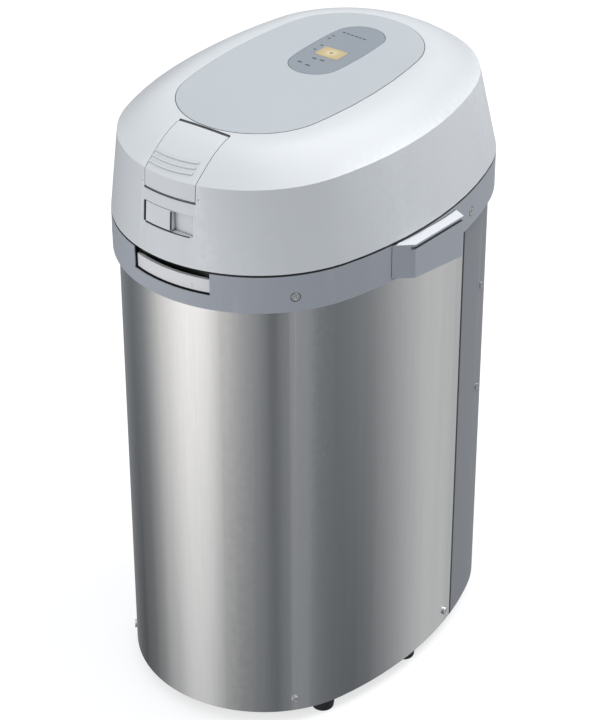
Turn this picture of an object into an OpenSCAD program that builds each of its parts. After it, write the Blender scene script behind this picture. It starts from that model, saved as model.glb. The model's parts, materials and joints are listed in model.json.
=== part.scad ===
// Electric food waste dryer: a round drying chamber with a lift-out container in an oval
// stainless body, under a hinged lid that blows hot air onto the waste.
// Millimetres. +Z is up, the front with the release button faces -Y, and the feet stand on z = 0.

/* [Body outline] */
// Half of the width at the plastic ring
ring_a = 131; // [124:1:145]
// Half of the depth at the plastic ring
ring_b = 185; // [180:1:205]
// How much the sides bow out past the round ends
side_bow = 10; // [6:1:16]
// Step from the ring in to the steel jacket
jacket_in = 5; // [3:0.5:7]
// Sheet thickness of the jacket
jacket_t = 0.8; // [0.5:0.1:1.2]
// Height of the visible steel
jacket_h = 405; // [380:1:440]
// Distance behind the middle at which the rear cover starts
seam_y = 51; // [45:1:60]
// Wall of the rear cover
cover_t = 3; // [2:0.5:4]
// Height of the rubber feet
foot_h = 12; // [8:1:16]
// Thickness of the base floor
floor_t = 3; // [2:0.5:5]

/* [Ring] */
// Height of the plastic ring
ring_h = 33; // [28:1:40]
// Wall of the ring
ring_t = 4.4; // [3:0.2:4.6]
// Depth of the deck below the ring's upper edge
deck_drop = 6; // [5:0.5:9]
// Thickness of the deck
deck_t = 4; // [3:0.5:5]
// Half width of the finger recess at the front
recess_w = 37.5; // [30:0.5:42]
// Height of the finger recess
recess_h = 20.5; // [16:0.5:22]
// Depth of the finger recess
recess_d = 11; // [8:0.5:12]
// Front end of the side grips
grip_y0 = -60; // [-70:1:-50]
// Rear end of the side grips
grip_y1 = 25; // [15:1:45]
// How far the side grips stand out
grip_out = 8; // [5:0.5:11]
// Height of the side grips at their front corner
grip_h = 30.5; // [24:0.5:32]

/* [Lid] */
// Gap between the ring and the lid
lid_gap = 1; // [0.8:0.1:2]
// Height of the lid's wall at the middle
lid_wall_h = 72; // [66:1:80]
// How far the wall leans in towards the crown
lid_lean = 12; // [9:0.5:14]
// Rise of the crown above the wall
crown_h = 22; // [18:0.5:26]
// Rise of the wall's upper edge per millimetre towards the rear
lid_slope = 0.01; // [0:0.005:0.03]
// Wall of the lid
lid_t = 3; // [2.5:0.5:4]
// Half width of the top panel
panel_a = 70; // [60:1:78]
// Half depth of the top panel
panel_b = 124; // [112:1:130]
// Shift of the crown and the top panel towards the front
panel_fwd = 7; // [4:1:12]
// Half width of the dark window
window_a = 24; // [20:1:30]
// Half depth of the dark window
window_b = 52; // [46:1:58]
// Distance of the window's middle behind the lid's middle
window_y = 40.5; // [36:0.5:44]
// Width of the lit key
key_w = 23; // [18:1:26]
// Depth of the lit key
key_d = 17; // [14:1:20]
// Width of the release button
button_w = 49; // [42:1:54]
// Height of the button's lower edge above the lid's lower edge
button_low = 56; // [52:1:62]
// Length of the button from the front over the crown
button_len = 50; // [44:1:52]
// Width of the lock's slot
slot_w = 47; // [42:1:54]
// Height of the lock's slot
slot_h = 18; // [15:1:20]
// Depth of the lock's slot
slot_d = 4; // [3:0.5:5]
// Width of the lock's knob
knob_w = 27; // [22:1:30]

/* [Chamber and container] */
// Inner radius of the drying chamber
chamber_r = 104; // [100:1:106]
// Wall of the drying chamber
chamber_t = 1.5; // [1:0.1:2]
// Distance of the chamber's middle behind the centre of the front arc
chamber_back = 12; // [10:1:14]
// Outer radius of the container
pot_r = 96; // [90:1:98]
// Wall of the container
pot_t = 2; // [1.5:0.5:3]
// Distance from the deck down to the container's rim
pot_drop = 45; // [42:1:60]
// Length of the container handle's arms
bail_arm = 35; // [30:1:37]
// Radius of the hand grip
bail_grip_r = 7; // [5:0.5:7]

/* [Drive] */
// Radius of the stirrer's shaft
shaft_r = 7; // [6:0.5:9]
// Module of the slow gear stage
slow_module = 3; // [2.5:0.25:3]
// Teeth of the output gear
output_teeth = 45; // [40:1:46]
// Teeth of the idler's small gear
small_teeth = 12; // [12:1:14]
// Module of the fast gear stage
fast_module = 2; // [1.75:0.25:2]
// Teeth of the idler's large gear
large_teeth = 44; // [40:1:46]
// Teeth of the motor pinion
pinion_teeth = 12; // [12:1:14]
// Face width of the gears
gear_w = 11; // [8:1:12]
// Height of the gearbox's inside
gearbox_h = 33; // [31:1:36]
// Radius of the drive motor
motor_r = 28; // [24:1:30]
// Height of the drive motor
motor_h = 82; // [70:1:90]

/* [Exhaust] */
// Side of the square fan frame
fan_side = 80; // [70:1:84]
// Depth of the fan frame
fan_d = 25; // [20:1:28]
// Height of the fan's middle
fan_z = 290; // [270:1:310]
// Radius of the exhaust duct
duct_r = 14; // [10:1:16]
// Width of the catalyst box
catalyst_w = 70; // [60:1:80]
// Height of the catalyst box
catalyst_h = 60; // [50:1:70]
// Radius of the opening for the cord
gland_r = 4; // [3:0.5:5]

/* [Hot air] */
// Outer radius of the circulation fan
blower_r = 44; // [38:1:48]
// Number of blades of the circulation fan
blower_blades = 14; // [10:1:18]
// Radius of the hot air outlets
outlet_r = 8; // [6:0.5:9]

/* [Hidden] */
$fn = 96;
// play between seated pieces, between a shaft and its bearing, and the overrun of a cut
fit = 0.3;
run_fit = 0.1;
e = 1;
floor_z = foot_h;
steel_top = foot_h + jacket_h;
ring_top = steel_top + ring_h;
deck_top = ring_top - deck_drop;
deck_z = deck_top - deck_t;
lid_z = ring_top + lid_gap;
crease_z = lid_z + lid_wall_h;
crown_z = crease_z + crown_h;
ring_r = ring_a - side_bow;
arc_y = ring_b - ring_r;
side_r = (ring_a * ring_a + arc_y * arc_y - ring_r * ring_r) / (2 * side_bow);
chamber_y = chamber_back - arc_y;

// gearbox and shafts
gearbox_z = floor_z + floor_t + 9;
gearbox_t = 3;
slow_z = gearbox_z + gearbox_t + 4;
fast_z = slow_z + gear_w + 3;
cover_z = gearbox_z + gearbox_t + gearbox_h;
cover_plate_t = 4;
slow_c = slow_module * (output_teeth + small_teeth) / 2 + 0.2;
fast_c = fast_module * (large_teeth + pinion_teeth) / 2 + 0.2;
idler_y = chamber_y + slow_c;
motor_y = idler_y + fast_c;
gear_clear = 6;
box_r_front = slow_module * (output_teeth / 2 + 1) + gear_clear + gearbox_t;
box_r_rear = fast_c + fast_module * (pinion_teeth / 2 + 1) + gear_clear;
pedestal_r = 40;
pedestal_h = 44;
bearing_r = 13;
bearing_h = 9;

// chamber and container
chamber_z = cover_z + cover_plate_t + pedestal_h;
pot_z = chamber_z + chamber_t + 6;
pot_top = deck_z - pot_drop;
pot_floor = 3;
hub_h = 24;
hub_t = 3;
bush_r = shaft_r + 2;
rotor_gap = 1.5;
rotor_z = pot_z + pot_floor + 2;
rotor_top = pot_z + pot_floor + hub_h + 3;
rotor_cap = 8;
arm_h = 9;
arm_r = pot_r - pot_t - 4;
ear_t = 3.5;
ear_h = 13;
pivot_z = pot_top + 7;
pin_r = 2.4;
bail_x = pot_r - ear_t - 0.5;
strap_t = 3;
strap_w = 9;
lip_r = chamber_r + 2;
lip_t = 3;
lip_h = 3;

// lid
hinge_y = ring_b - 13;
hinge_z = ring_top + 8;
hinge_pin_r = 3;
knuckle_r = 6.5;
notch_w = 62;
notch_h = 25;
knuckle_x = 22;
knuckle_w = 12;
cover_in_t = 3;
// depth of the step in the lid's wall in which the inner cover sits
rebate = 0.8;
blower_y = 30;
blower_h = 20;
blower_z = lid_z + cover_in_t + 6;
scroll_t = 2;
heater_w = 60;
heater_h = 26;
panel_t = 2;
window_t = 1.2;
window_gap = 0.3;
key_travel = 0.6;
button_gap = 0.5;
latch_y = chamber_y - lip_r - lip_t - 6;
latch_z = lid_z + 38.5;
slot_z = lid_z + 26;
latch_r = 4;
stem_back = 17;
stem_gap = 1;
hinge_lug_x = 8;
hinge_lug_w = 10;
notch_front = 14;

// points on the wall: on the round ends, and on the sides
ring_screw_a = 50;
low_side_a = asin((seam_y - 9.5) / side_r);
rear_side_a = asin((seam_y + 3.6) / side_r);

// ---------- outlines ----------

// Oval of four arcs: half width a, half depth b, radius r of the round ends.
module oval_of(a, b, r) {
  side_r = (a * a + (b - r) * (b - r) - r * r) / (2 * (a - r));
  join_y = (b - r) * side_r / (side_r - r);
  join_x = (side_r - a) * r / (side_r - r);
  // strips that carry the area over the joins of the arcs
  for (s = [-1, 1]) translate([0.4 - join_x, s * join_y - 0.3]) square([2 * join_x - 0.8, 0.6]);
  for (s = [-1, 1])
    intersection() {
      translate([0, s * (b - r)]) circle(r);
      translate([-a, s > 0 ? join_y : -b - e]) square([2 * a, b - join_y + e]);
    }
  intersection() {
    translate([a - side_r, 0]) circle(side_r, $fn = 180);
    translate([side_r - a, 0]) circle(side_r, $fn = 180);
    translate([-a, -join_y]) square([2 * a, 2 * join_y]);
  }
}

module oval(d) { oval_of(ring_a - d, ring_b - d, ring_r - d); }

module oval_slab(d, z, h) { translate([0, 0, z]) linear_extrude(h) oval(d); }

module oval_wall(d, t, z, h) {
  translate([0, 0, z]) linear_extrude(h) difference() { oval(d); oval(d + t); }
}

// Places a piece on the wall with its +Z pointing out of the body.
module on_front(angle, d, z) {
  translate([0, -arc_y, z]) rotate([0, 0, angle]) translate([0, d - ring_r, 0])
    rotate([90, 0, 0]) children();
}

module on_rear(angle, d, z) { rotate([0, 0, 180]) on_front(angle, d, z) children(); }

module on_side(angle, d, z) {
  translate([ring_a - side_r, 0, z]) rotate([0, 0, angle]) translate([side_r - d, 0, 0])
    rotate([0, 90, 0]) children();
}

module both_sides() {
  children();
  mirror([1, 0, 0]) children();
}

module tube(r, t, h) {
  difference() {
    cylinder(r = r, h = h);
    translate([0, 0, -e]) cylinder(r = r - t, h = h + 2 * e);
  }
}

// Box given by its middle in X and Y and its lower face.
module block(w, d, h) { translate([-w / 2, -d / 2, 0]) cube([w, d, h]); }

module screw(head_r, head_h, shank_r, length) {
  difference() {
    cylinder(r = head_r, h = head_h);
    for (a = [0, 90]) rotate([0, 0, a]) translate([0, 0, head_h - 0.8])
      block(head_r * 1.2, 0.9, 2);
  }
  translate([0, 0, -length]) cylinder(r = shank_r, h = length);
}

// ---------- gears ----------

function involute(rb, t) =
  [rb * (cos(t) + t * PI / 180 * sin(t)), rb * (sin(t) - t * PI / 180 * cos(t))];
function roll_at(rb, r) = sqrt(max(0, r * r / (rb * rb) - 1)) * 180 / PI;
function turned(p, a) = [p[0] * cos(a) - p[1] * sin(a), p[0] * sin(a) + p[1] * cos(a)];

// Half of a tooth's angle at the pitch circle, less the play between the flanks.
function half_tooth(teeth) = 90 / teeth * 0.93;

function flank(m, teeth, k) =
  let (rp = m * teeth / 2, rb = rp * cos(20), low = max(rb, rp - 1.1 * m),
       r = mix(k, low, rp + 0.9 * m), pitch = involute(rb, roll_at(rb, rp)),
       lean = atan2(pitch[1], pitch[0]))
  turned(involute(rb, roll_at(rb, r)), -lean - half_tooth(teeth));

function tooth(m, teeth) =
  let (low = [for (k = [0, 0.5, 1]) flank(m, teeth, k)],
       root = m * teeth / 2 - 1.25 * m, first = atan2(low[0][1], low[0][0]))
  concat([[root * cos(first), root * sin(first)]], low,
         [for (k = [2, 1, 0]) [low[k][0], -low[k][1]]], [[root * cos(first), -root * sin(first)]]);

module gear(m, teeth, h, turn) {
  linear_extrude(h)
    polygon([for (i = [0 : teeth - 1], p = tooth(m, teeth)) turned(p, turn + i * 360 / teeth)]);
}

// ---------- body ----------

module base_tray() {
  color("dimgray") difference() {
    union() {
      oval_slab(jacket_in + cover_t + fit, floor_z, floor_t);
      difference() {
        union() {
          oval_slab(jacket_in + jacket_t + fit, floor_z, floor_t);
          oval_wall(jacket_in + jacket_t + fit, 2.5, floor_z + floor_t, 18);
        }
        translate([-ring_a, seam_y - 8, floor_z - e]) cube([2 * ring_a, ring_b, 30]);
      }
      intersection() {
        oval_wall(jacket_in + cover_t + fit, 2.5, floor_z + floor_t, 18);
        translate([-ring_a, seam_y - 4, floor_z]) cube([2 * ring_a, ring_b, 30]);
      }
      for (p = gearbox_posts) translate([p[0], p[1], floor_z + floor_t])
        cylinder(r = 7, h = gearbox_z - floor_z - floor_t);
      both_sides() translate([board_w / 2 + 2, board_y, floor_z + floor_t]) block(7, 9, 40);
    }
    both_sides() translate([board_w / 2, board_y, floor_z + floor_t]) block(3, board_t + 0.2, 50);
    for (x = [-50 : 12.5 : 50], y = [-70, 20]) translate([x, y, floor_z - e]) block(5, 40, floor_t + 2 * e);
    low_screw_places() translate([0, 0, -14]) cylinder(r = 2, h = 20);
  }
}
gearbox_posts = [[-box_r_front + 22, chamber_y], [box_r_front - 22, chamber_y],
                 [0, chamber_y - box_r_front + 12], [-30, motor_y - 6], [30, motor_y - 6]];

foot_r = 11;
foot_places = [[ring_a - 19, -7], [ring_a - 36, -107], [ring_a - 62, ring_b - 65]];
module feet() {
  color("black") both_sides() for (p = foot_places) translate([p[0], p[1], 0])
    cylinder(r1 = foot_r - 1.5, r2 = foot_r, h = foot_h);
}

low_screw_z = floor_z + 12;
module low_screw_places() {
  both_sides() {
    on_front(ring_screw_a, jacket_in, low_screw_z) children();
    on_side(low_side_a, jacket_in, low_screw_z) children();
  }
}

module steel_jacket() {
  color("silver") difference() {
    oval_wall(jacket_in, jacket_t, floor_z, deck_z - fit - floor_z);
    translate([-ring_a, seam_y, floor_z - e]) cube([2 * ring_a, ring_b, deck_z]);
    low_screw_places() translate([0, 0, -10]) cylinder(r = 2, h = 20);
    ring_screw_places() translate([0, 0, -20]) cylinder(r = 2, h = 30);
    recess_cut(3);
  }
}

module jacket_screws() {
  color("gainsboro") low_screw_places() translate([0, 0, 0.1]) screw(3.6, 1.6, 1.8, 8);
}

grille_z = fan_z - fan_side / 2 + 8;
module rear_cover() {
  color([0.62, 0.65, 0.69]) difference() {
    union() {
      difference() {
        oval_wall(jacket_in, cover_t, floor_z, deck_z - fit - floor_z);
        translate([-ring_a, -ring_b, floor_z - e]) cube([2 * ring_a, ring_b + seam_y + 0.4, deck_z]);
      }
      // pad of the cord gland and bosses of the fan
      intersection() {
        union() {
          translate([0, ring_b - jacket_in - 7, gland_z]) rotate([-90, 0, 0]) cylinder(r = 17, h = 7);
          for (x = [-1, 1], z = [-1, 1]) translate([x * fan_hole, fan_y + fan_d, fan_z + z * fan_hole])
            rotate([-90, 0, 0]) cylinder(r = 4.2, h = 30);
        }
        oval_slab(jacket_in + 0.3, floor_z, deck_z);
      }
    }
    for (z = [grille_z : 9 : grille_z + fan_side - 18], x = [-27, 0, 27])
      translate([x, ring_b - 12, z]) block(22, 40, 4);
    for (z = [110 : 9 : 164], x = [-20, 20]) translate([x, ring_b - 12, z]) block(30, 40, 4);
    translate([0, ring_b - 25, gland_z]) rotate([-90, 0, 0]) cylinder(r = gland_r + 4 + run_fit, h = 40);
    translate([0, ring_b - jacket_in - 2.5, gland_z]) rotate([-90, 0, 0]) cylinder(r = 14, h = 10);
    cover_screw_places() translate([0, 0, -10]) cylinder(r = 2, h = 20);
    rear_ring_screw_places() translate([0, 0, -20]) cylinder(r = 2, h = 30);
  }
}

module cover_screw_places() {
  both_sides() for (k = [0.54, 0.795]) on_rear(72, jacket_in, floor_z + k * jacket_h) children();
}

module rear_cover_screws() {
  color("gainsboro") cover_screw_places() translate([0, 0, 0.1]) screw(3, 1.2, 1.8, 10);
}

module ring_screw_places() { both_sides() on_front(ring_screw_a, 0, steel_top + 13) children(); }
module rear_ring_screw_places() { both_sides() on_side(rear_side_a, 0, steel_top + 13) children(); }

// Room of the front finger recess, grown all round by more.
module recess_cut(more) {
  translate([0, -ring_b - e, ring_top - recess_h - more])
    block(2 * (recess_w + more), 2 * (recess_d + more + e), recess_h + more + e);
}

module top_ring() {
  color([0.6, 0.62, 0.66]) difference() {
    union() {
      oval_wall(0, ring_t, steel_top, ring_h);
      difference() {
        oval_slab(ring_t - 0.5, deck_z, deck_t);
        translate([0, chamber_y, deck_z - e]) cylinder(r = chamber_r, h = deck_t + 2 * e);
      }
      translate([0, chamber_y, deck_top]) tube(lip_r + lip_t, lip_t, lip_h);
      intersection() {
        recess_cut(2.5);
        oval_slab(0.5, steel_top + 2, ring_h - 2 - 0.5);
        translate([-ring_a, -ring_b, 0]) cube([2 * ring_a, recess_d + 2.5, ring_top]);
      }
    }
    recess_cut(0);
    translate([0, latch_y - 0.7, deck_z - e]) block(26, 7.2, deck_t + 2 * e);
    ring_screw_places() screw_hole();
    rear_ring_screw_places() screw_hole();
    translate([-70, 90, deck_z - e]) cylinder(r = 5, h = 20);
  }
}

module screw_hole() {
  translate([0, 0, -1.4]) cylinder(r = 4.2, h = 10);
  translate([0, 0, -12]) cylinder(r = 2, h = 14);
}

module ring_screws() {
  color("gainsboro") {
    ring_screw_places() translate([0, 0, -1.4]) screw(3.6, 1.5, 1.8, 8);
    rear_ring_screw_places() translate([0, 0, -1.4]) screw(3.6, 1.5, 1.8, 8);
  }
}

// Bars at the sides, under which fingers reach to carry the body. Each has a section at the
// front tip, at the corner and at the rear end, and a groove below its upper edge.
grip_x = ring_a + grip_out - 1;
grip_corner = grip_y0 + 16;
grip_top = ring_top - 2.5;
grip_top_fall = 4.5;
grip_low_fall = 11.5;
function grip_low(y) = grip_top - grip_h - grip_low_fall * (y - grip_corner) / (grip_y1 - grip_corner);

// Corners of the grip's section: inner low, outer low, outer top, inner top.
function grip_section(x, y, top) =
  [[ring_a - 10, y, grip_low(y)], [x, y, grip_low(y)], [x, y, top], [ring_a - 10, y, ring_top - 0.2]];

module side_grips() {
  points = concat(grip_section(ring_a - grip_y0 * grip_y0 / (2 * side_r), grip_y0, ring_top - 0.5),
                  grip_section(grip_x, grip_corner, grip_top),
                  grip_section(grip_x, grip_y1, grip_top - grip_top_fall));
  color([0.66, 0.68, 0.73]) both_sides() difference() {
    polyhedron(points = points, faces = concat([[0, 2, 1], [0, 3, 2], [8, 9, 10], [8, 10, 11]],
      [for (k = [0, 4], i = [0 : 3]) let (j = (i + 1) % 4)
        each [[k + i, k + 4 + j, k + 4 + i], [k + i, k + j, k + 4 + j]]]));
    oval_slab(-fit, 0, ring_top);
    hull() {
      translate([grip_x - 2.2, grip_corner - e, grip_top - 4.4]) cube([10, e, 2.2]);
      translate([grip_x - 2.2, grip_y1, grip_top - grip_top_fall - 4.4]) cube([10, e, 2.2]);
    }
  }
}

// Bright curved bar at the back of the finger recess.
module front_grip() {
  color("lightgray") {
    intersection() {
      oval_wall(2.5, 3, ring_top - recess_h + 1.2, recess_h - 9);
      recess_cut(-1.2);
    }
    // webs back to the ring
    for (x = [-recess_w / 2, recess_w / 2]) translate([x, recess_d / 2 + 2 - ring_b, ring_top - recess_h + 3])
      block(5, recess_d - 4, 4);
  }
}

// ---------- chamber and container ----------

module drying_chamber() {
  color("darkgray") translate([0, chamber_y, 0]) difference() {
    union() {
      translate([0, 0, chamber_z]) cylinder(r = chamber_r + chamber_t, h = deck_z - chamber_z);
      translate([0, 0, deck_z - 3]) cylinder(r = lip_r + 1, h = 3);
    }
    translate([0, 0, chamber_z + chamber_t]) difference() {
      cylinder(r = chamber_r, h = deck_z);
      for (a = [30, 150, 270]) rotate([0, 0, a]) translate([pot_r - 14, 0, -e])
        cylinder(r = 8, h = pot_z - chamber_z - chamber_t + e);
    }
    translate([0, 0, chamber_z - e]) cylinder(r = seal_r, h = 20);
    translate([0, chamber_r - 8, duct_z]) rotate([-90, 0, 0]) cylinder(r = duct_r - 2, h = 20);
  }
}
seal_r = shaft_r + 4;
duct_z = deck_z - 40;

module shaft_seal() {
  color("black") translate([0, chamber_y, chamber_z - 4]) difference() {
    union() {
      cylinder(r = seal_r - run_fit, h = 9);
      cylinder(r = seal_r + 3, h = 4 - fit);
    }
    translate([0, 0, -e]) cylinder(r = shaft_r + run_fit, h = 12);
  }
}

module container_pot() {
  color("silver") translate([0, chamber_y, 0]) difference() {
    union() {
      translate([0, 0, pot_z]) difference() {
        cylinder(r = pot_r, h = pot_top - pot_z);
        translate([0, 0, pot_floor]) cylinder(r = pot_r - pot_t, h = pot_top);
      }
      translate([0, 0, pot_z]) cylinder(r = bush_r + hub_t, h = pot_floor + hub_h);
      both_sides() intersection() {
        translate([pot_r - ear_t, -7, pot_top - 12]) cube([ear_t + 1, 14, ear_h + 12]);
        cylinder(r = pot_r, h = ring_top);
      }
    }
    translate([0, 0, pot_z - e]) cylinder(r = bush_r, h = 2 * hub_h);
    translate([-chamber_r, 0, pivot_z]) rotate([0, 90, 0]) cylinder(r = pin_r + run_fit, h = 2 * chamber_r);
  }
}

module pot_bush() {
  color("wheat") translate([0, chamber_y, pot_z]) difference() {
    cylinder(r = bush_r - 0.02, h = pot_floor + hub_h);
    translate([0, 0, -e]) cylinder(r = shaft_r + run_fit, h = 2 * hub_h);
  }
}

// Carrying handle, drawn folded down towards the rear.
module container_handle() {
  color("gray") translate([0, chamber_y, pivot_z]) {
    both_sides() {
      translate([bail_x - strap_t, -strap_w / 2, -strap_w / 2])
        cube([strap_t, bail_arm + strap_w / 2 + strap_t / 2, strap_w]);
      translate([bail_x - e, 0, 0]) rotate([0, 90, 0]) cylinder(r = pin_r, h = ear_t + 1.5 + e);
    }
    translate([-bail_x, bail_arm - strap_t / 2, -strap_w / 2]) cube([2 * bail_x, strap_t, strap_w]);
  }
}

module handle_grip() {
  color("dimgray") translate([0, chamber_y + bail_arm, pivot_z]) rotate([0, 90, 0]) difference() {
    translate([0, 0, -32]) cylinder(r = bail_grip_r, h = 64);
    translate([0, 0, -40]) block(strap_w + 0.1, strap_t + 0.1, 80);
  }
}

blade_z = rotor_z + arm_h + 5;
module fixed_blades() {
  color("slategray") translate([0, chamber_y, blade_z]) intersection() {
    for (a = [20, 200]) rotate([0, 0, a]) translate([bush_r + hub_t + 22, -2, 0]) cube([pot_r, 4, arm_h]);
    cylinder(r = pot_r - pot_t - 0.02, h = 50);
  }
}

module stirrer_rotor() {
  color("lightslategray") translate([0, chamber_y, 0]) difference() {
    union() {
      translate([0, 0, rotor_z])
        cylinder(r = bush_r + hub_t + rotor_gap + 4, h = rotor_top + rotor_cap - rotor_z);
      for (a = [0, 180]) rotate([0, 0, a + 75]) rotor_arm(rotor_z + 1);
      for (a = [0, 180]) rotate([0, 0, a - 15]) rotor_arm(blade_z + arm_h + 3);
    }
    translate([0, 0, rotor_z - e]) cylinder(r = bush_r + hub_t + rotor_gap, h = rotor_top - rotor_z + e);
    translate([0, 0, rotor_z]) cylinder(r = shaft_r, h = rotor_top + rotor_cap - rotor_z - 3);
  }
}

// Paddle arm from the hub.
module rotor_arm(z) {
  start = bush_r + hub_t + rotor_gap + 3;
  translate([start, -4, z]) cube([arm_r - start, 8, arm_h - 1]);
}

module output_shaft() {
  color("lightgray") translate([0, chamber_y, gearbox_z + gearbox_t + fit])
    cylinder(r = shaft_r - 0.02, h = rotor_top + rotor_cap - 3.2 - gearbox_z - gearbox_t - fit);
}

// ---------- drive ----------

module output_gear() {
  color("burlywood") translate([0, chamber_y, slow_z]) difference() {
    union() {
      gear(slow_module, output_teeth, gear_w, 90);
      translate([0, 0, -3]) cylinder(r = shaft_r + 6, h = gear_w + 6);
    }
    translate([0, 0, -10]) cylinder(r = shaft_r, h = 40);
    for (i = [0 : 5]) rotate([0, 0, 60 * i]) translate([slow_module * output_teeth / 4 + 4, 0, -e])
      cylinder(r = 11, h = gear_w + 2 * e);
  }
}

idler_r = 4;
module idler_gear() {
  color("tan") translate([0, idler_y, 0]) difference() {
    union() {
      translate([0, 0, slow_z - 0.5])
        gear(slow_module, small_teeth, fast_z - slow_z + 0.5, 270 + 180 / small_teeth);
      translate([0, 0, fast_z]) gear(fast_module, large_teeth, gear_w - 3, 90);
    }
    cylinder(r = idler_r + run_fit, h = cover_z);
    for (i = [0 : 4]) rotate([0, 0, 72 * i]) translate([fast_module * large_teeth / 4 + 8, 0, fast_z - e])
      cylinder(r = 7, h = gear_w);
  }
}

module idler_shaft() {
  color("lightgray") translate([0, idler_y, gearbox_z + gearbox_t])
    cylinder(r = idler_r, h = gearbox_h);
}

motor_shaft_r = 3;
module motor_pinion() {
  color("goldenrod") translate([0, motor_y, 0]) {
    translate([0, 0, fast_z]) gear(fast_module, pinion_teeth, gear_w - 3, 90 + 180 / pinion_teeth);
    translate([0, 0, gearbox_z + gearbox_t + fit])
      cylinder(r = motor_shaft_r, h = cover_z + cover_plate_t + 12 - gearbox_z - gearbox_t);
  }
}

// Plan of the gearbox, drawn in from its outer face by d.
module gearbox_plan(d) {
  translate([0, chamber_y]) circle(box_r_front - d);
  translate([0, idler_y]) circle(box_r_rear - d);
  translate([d - box_r_rear, chamber_y]) square([2 * (box_r_rear - d), slow_c]);
}

module gearbox_housing() {
  color("lightgray") difference() {
    translate([0, 0, gearbox_z]) linear_extrude(gearbox_h + gearbox_t) gearbox_plan(0);
    translate([0, 0, gearbox_z + gearbox_t]) linear_extrude(gearbox_h + e) gearbox_plan(gearbox_t);
  }
}

module gearbox_cover() {
  color("silver") difference() {
    union() {
      translate([0, 0, cover_z]) linear_extrude(cover_plate_t) gearbox_plan(0);
      translate([0, chamber_y, cover_z]) tube(pedestal_r, 4, cover_plate_t + pedestal_h);
      translate([0, chamber_y, cover_z]) cylinder(r = bearing_r + 3, h = cover_plate_t + bearing_h);
    }
    translate([0, chamber_y, cover_z - e]) cylinder(r = shaft_r + run_fit, h = 60);
    translate([0, motor_y, cover_z - e]) cylinder(r = motor_shaft_r + 3, h = 20);
  }
}

cover_screw_spots = [[-box_r_front + 9, chamber_y], [box_r_front - 9, chamber_y],
                     [0, chamber_y - box_r_front + 9], [-box_r_rear + 9, idler_y], [box_r_rear - 9, idler_y]];
module gearbox_screws() {
  color("gray") for (p = cover_screw_spots) translate([p[0], p[1], cover_z + cover_plate_t]) screw_head();
}
module screw_head() {
  difference() {
    cylinder(r = 3.5, h = 2.6);
    translate([0, 0, 1]) cylinder(r = 1.6, h = 3, $fn = 6);
  }
}

module drive_motor() {
  color("gray") translate([0, motor_y, cover_z + cover_plate_t]) difference() {
    union() {
      cylinder(r = motor_r, h = motor_h);
      intersection() {
        block(2 * motor_r + 14, 2 * motor_r - 16, 4);
        translate([0, 0, -e]) cylinder(r = motor_r + 6, h = 10);
      }
      translate([0, 0, motor_h]) cylinder(r = 9, h = 5);
    }
    translate([0, 0, -e]) cylinder(r = motor_shaft_r + run_fit, h = 20);
  }
}

// ---------- exhaust and power ----------

fan_hole = fan_side / 2 - 4.5;
fan_y = ring_b - jacket_in - cover_t - fan_d - 12;
catalyst_y = chamber_y + chamber_r + chamber_t + 36;
catalyst_d = 48;
catalyst_z = duct_z - catalyst_h / 2;
box_t = 1.2;

module exhaust_duct() {
  color("silver") translate([0, chamber_y + chamber_r + chamber_t + fit + 1, duct_z]) rotate([-90, 0, 0])
    tube(duct_r, 1.5, catalyst_y - catalyst_d / 2 - chamber_y - chamber_r - chamber_t - fit - 1);
}

module catalyst_housing() {
  color("darkgray") translate([0, catalyst_y, catalyst_z]) difference() {
    union() {
      block(catalyst_w, catalyst_d, catalyst_h);
      both_sides() translate([catalyst_w / 2 - 8, 0, catalyst_h])
        block(10, 12, deck_z - catalyst_z - catalyst_h);
    }
    translate([0, 0, box_t]) block(catalyst_w - 2 * box_t, catalyst_d - 2 * box_t, catalyst_h - 2 * box_t);
    translate([0, 0, catalyst_h / 2]) rotate([90, 0, 0]) cylinder(r = duct_r - 1.5, h = catalyst_d);
    translate([0, 8, -e]) block(50, 20, 4);
  }
}

core_cell = 7;
module catalyst_core() {
  color("peru") translate([0, catalyst_y, catalyst_z + box_t]) difference() {
    block(catalyst_w - 2 * box_t - 0.4, catalyst_d - 2 * box_t - 8, 22);
    for (x = [-28 : core_cell : 28], y = [-14 : core_cell : 14]) translate([x, y, -e]) block(5, 5, 30);
  }
}

module exhaust_fan_frame() {
  color("dimgray") translate([0, fan_y, fan_z]) rotate([-90, 0, 0]) {
    difference() {
      block(fan_side, fan_side, fan_d);
      translate([0, 0, -e]) cylinder(r = fan_side / 2 - 3, h = fan_d + 20);
      for (x = [-1, 1], y = [-1, 1]) translate([x * fan_hole, y * fan_hole, -e])
        cylinder(r = 2.2, h = fan_d + 20);
    }
    difference() {
      cylinder(r = 16, h = 3);
      translate([0, 0, -e]) cylinder(r = 2.6, h = 10);
    }
    for (a = [45 : 90 : 315]) rotate([0, 0, a]) translate([15, -2, 0]) cube([fan_side / 2 - 17, 4, 3]);
  }
}

module exhaust_fan_rotor() {
  color("black") translate([0, fan_y, fan_z]) rotate([-90, 0, 0]) {
    translate([0, 0, 4]) cylinder(r = 17, h = fan_d - 6);
    translate([0, 0, 0.5]) cylinder(r = 2.5, h = 6);
    for (i = [0 : 6]) rotate([0, 0, i * 360 / 7]) translate([14, 0, fan_d / 2 + 1])
      rotate([38, 0, 0]) translate([0, -12, -0.9]) cube([fan_side / 2 - 3 - 3 - 14, 24, 1.8]);
  }
}

board_w = 110;
board_h = 90;
board_t = 1.6;
board_y = motor_y + motor_r + 16;
module power_board() {
  color("darkgreen") translate([0, board_y, floor_z + floor_t]) union() {
    block(board_w, board_t, board_h);
    translate([-30, -board_t / 2 - 5, 45]) block(26, 10, 30);
    translate([8, -board_t / 2 - 6, 50]) block(22, 12, 22);
    for (x = [32, 46]) translate([x, -board_t / 2, 62]) rotate([90, 0, 0]) cylinder(r = 6, h = 14);
    translate([0, board_t / 2 + 4, 70]) block(50, 8, 10);
  }
}

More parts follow.
